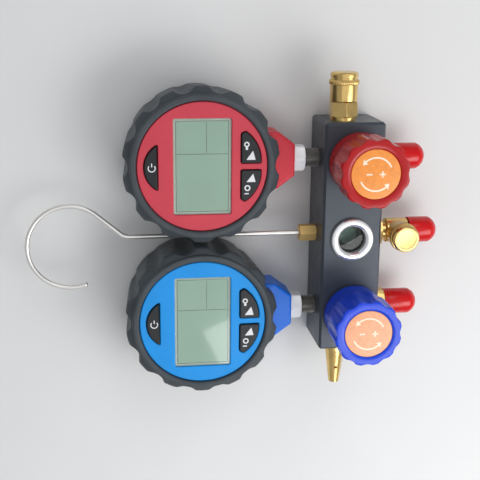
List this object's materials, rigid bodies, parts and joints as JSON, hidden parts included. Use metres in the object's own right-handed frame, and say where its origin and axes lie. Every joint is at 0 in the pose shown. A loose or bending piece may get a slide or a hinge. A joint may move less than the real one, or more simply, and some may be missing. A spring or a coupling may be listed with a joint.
{
  "type": "refrigerant manifold gauge",
  "caption": "Digital refrigerant manifold: block with sight glass, hand valves, booted round gauges, capped flare ports and a swivelling wire hook.",
  "frame": {"origin": "centre of the manifold block's back face", "axes": "+X towards the hose ports, +Y towards the high side, +Z out of the front, through the knobs"},
  "size_m": [0.2165, 0.1663, 0.065],
  "materials": {
    "block_paint": "satin slate-grey paint over aluminium",
    "brass": "turned brass",
    "chrome": "polished plate",
    "steel": "bright steel",
    "boot_rubber": "matt moulded rubber",
    "red_housing": "moulded",
    "blue_housing": "moulded",
    "red_face": "smooth",
    "blue_face": "smooth",
    "red_knob": "moulded",
    "blue_knob": "moulded",
    "red_side_label": "printed disc",
    "blue_side_label": "printed disc",
    "cap_plastic": "moulded",
    "window_clear": "clear acrylic",
    "sight_glass": "clear",
    "display_panel": "liquid crystal panel",
    "key_rubber": "moulded",
    "board_laminate": "laminate",
    "cell_jacket": "wrapped cell",
    "gasket_rubber": "matt"
  },
  "bodies": {
    "manifold": {"manifold_block": "block_paint", "sight_ring": "chrome", "sight_lens": "sight_glass", "sight_gasket": "gasket_rubber", "hook_nut": "brass", "low_bonnet": "brass", "high_bonnet": "brass", "low_hose_port": "brass", "high_hose_port": "brass", "centre_tee": "brass", "vacuum_port": "brass", "purge_valve": "brass", "low_gauge_boot": "boot_rubber", "low_gauge_housing": "blue_housing", "low_gauge_face": "blue_face", "low_gauge_window": "window_clear", "low_gauge_display": "display_panel", "low_gauge_board": "board_laminate", "low_gauge_cells": "cell_jacket", "low_gauge_battery_cover": "blue_housing", "low_gauge_housing_screws": "steel", "low_gauge_stem": "steel", "low_gauge_lock_nut": "chrome", "high_gauge_boot": "boot_rubber", "high_gauge_housing": "red_housing", "high_gauge_face": "red_face", "high_gauge_window": "window_clear", "high_gauge_display": "display_panel", "high_gauge_board": "board_laminate", "high_gauge_cells": "cell_jacket", "high_gauge_battery_cover": "red_housing", "high_gauge_housing_screws": "steel", "high_gauge_stem": "steel", "high_gauge_lock_nut": "chrome"},
    "hook": {"hook_wire": "steel"},
    "centre_port_cap": {"centre_port_cap": "cap_plastic"},
    "branch_cap": {"branch_cap": "brass"},
    "vacuum_cap": {"vacuum_cap": "brass"},
    "purge_pin": {"purge_pin": "brass"},
    "low_knob": {"low_knob": "blue_knob", "low_spindle": "steel", "low_knob_screw": "steel", "low_knob_label": "blue_side_label"},
    "low_piston": {"low_piston": "brass"},
    "low_port_cap": {"low_port_cap": "cap_plastic"},
    "low_gauge_power_button": {"low_gauge_power_button": "key_rubber"},
    "low_gauge_upper_key": {"low_gauge_upper_key": "key_rubber"},
    "low_gauge_lower_key": {"low_gauge_lower_key": "key_rubber"},
    "high_knob": {"high_knob": "red_knob", "high_spindle": "steel", "high_knob_screw": "steel", "high_knob_label": "red_side_label"},
    "high_piston": {"high_piston": "brass"},
    "high_port_cap": {"high_port_cap": "cap_plastic"},
    "high_gauge_power_button": {"high_gauge_power_button": "key_rubber"},
    "high_gauge_upper_key": {"high_gauge_upper_key": "key_rubber"},
    "high_gauge_lower_key": {"high_gauge_lower_key": "key_rubber"}
  },
  "joints": [
    {"name": "low_valve_turn", "type": "hinge", "parent": "manifold", "child": "low_knob", "pos_m": [0.002, -0.04, 0.033], "axis": [0, 0, 1], "range_deg": [0, 720]},
    {"name": "low_piston_lift", "type": "slide", "parent": "manifold", "child": "low_piston", "axis": [0, 0, 1], "range_m": [0, 0.002]},
    {"name": "low_port_cap_pull", "type": "slide", "parent": "manifold", "child": "low_port_cap", "axis": [1, 0, 0], "range_m": [0, 0.034]},
    {"name": "low_gauge_power_button_press", "type": "slide", "parent": "manifold", "child": "low_gauge_power_button", "axis": [0, 0, -1], "range_m": [0, 0.0008], "stiffness_N_per_m": 900},
    {"name": "low_gauge_upper_key_press", "type": "slide", "parent": "manifold", "child": "low_gauge_upper_key", "axis": [0, 0, -1], "range_m": [0, 0.0008], "stiffness_N_per_m": 900},
    {"name": "low_gauge_lower_key_press", "type": "slide", "parent": "manifold", "child": "low_gauge_lower_key", "axis": [0, 0, -1], "range_m": [0, 0.0008], "stiffness_N_per_m": 900},
    {"name": "high_valve_turn", "type": "hinge", "parent": "manifold", "child": "high_knob", "pos_m": [0.002, 0.04, 0.033], "axis": [0, 0, 1], "range_deg": [0, 720]},
    {"name": "high_piston_lift", "type": "slide", "parent": "manifold", "child": "high_piston", "axis": [0, 0, 1], "range_m": [0, 0.002]},
    {"name": "high_port_cap_pull", "type": "slide", "parent": "manifold", "child": "high_port_cap", "axis": [1, 0, 0], "range_m": [0, 0.034]},
    {"name": "high_gauge_power_button_press", "type": "slide", "parent": "manifold", "child": "high_gauge_power_button", "axis": [0, 0, -1], "range_m": [0, 0.0008], "stiffness_N_per_m": 900},
    {"name": "high_gauge_upper_key_press", "type": "slide", "parent": "manifold", "child": "high_gauge_upper_key", "axis": [0, 0, -1], "range_m": [0, 0.0008], "stiffness_N_per_m": 900},
    {"name": "high_gauge_lower_key_press", "type": "slide", "parent": "manifold", "child": "high_gauge_lower_key", "axis": [0, 0, -1], "range_m": [0, 0.0008], "stiffness_N_per_m": 900},
    {"name": "hook_swivel", "type": "hinge", "parent": "manifold", "child": "hook", "pos_m": [-0.0155, 0, 0.016], "axis": [1, 0, 0], "continuous": true},
    {"name": "centre_port_cap_pull", "type": "slide", "parent": "manifold", "child": "centre_port_cap", "axis": [1, 0, 0], "range_m": [0, 0.034]},
    {"name": "branch_cap_pull", "type": "slide", "parent": "manifold", "child": "branch_cap", "axis": [0, 0, 1], "range_m": [0, 0.03]},
    {"name": "vacuum_cap_pull", "type": "slide", "parent": "manifold", "child": "vacuum_cap", "axis": [0, 1, 0], "range_m": [0, 0.034]},
    {"name": "purge_pin_press", "type": "slide", "parent": "manifold", "child": "purge_pin", "axis": [0, 1, 0], "range_m": [0, 0.0015], "stiffness_N_per_m": 900}
  ],
  "couplings": [
    {"joint": "low_valve_turn", "follows": "low_piston_lift", "rad_per_m": 6283.2},
    {"joint": "high_valve_turn", "follows": "high_piston_lift", "rad_per_m": 6283.2}
  ]
}
